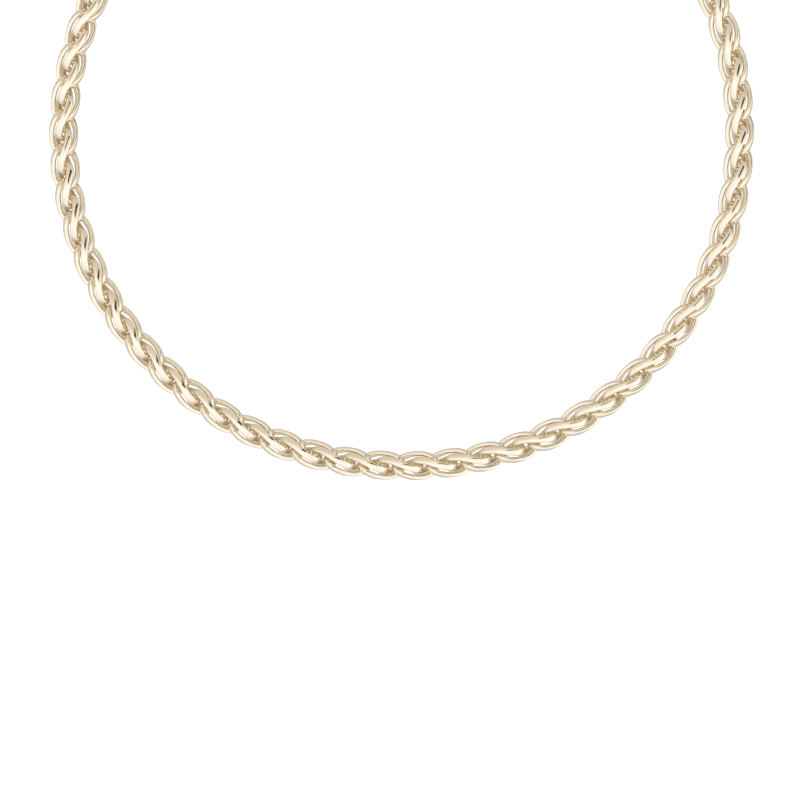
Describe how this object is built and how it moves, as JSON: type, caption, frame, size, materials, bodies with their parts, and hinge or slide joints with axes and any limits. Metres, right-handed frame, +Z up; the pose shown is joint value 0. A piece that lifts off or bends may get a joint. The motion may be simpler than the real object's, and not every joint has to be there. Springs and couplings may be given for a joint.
{
  "type": "wheat chain necklace",
  "caption": "A closed neck chain of twisted, interlocked oval links of flattened gold wire, laid flat as a loop, with two soldered end rings and a plain barrel clasp at the back.",
  "frame": {"origin": "on the surface that the necklace lies on, at the middle of the loop", "axes": "+Z up from that surface, -Y to the front of the loop, which is the lowest point in the picture, and +Y to the clasp"},
  "size_m": [0.1349, 0.1336, 0.0056],
  "materials": {
    "chain": "high polish, pale yellow 14 karat gold",
    "fittings": "high polish, pale yellow 14 karat gold"
  },
  "bodies": {
    "root": {"chain_left": "chain", "chain_right": "chain", "end_ring_left": "fittings", "end_ring_right": "fittings", "clasp": "fittings"}
  },
  "joints": []
}
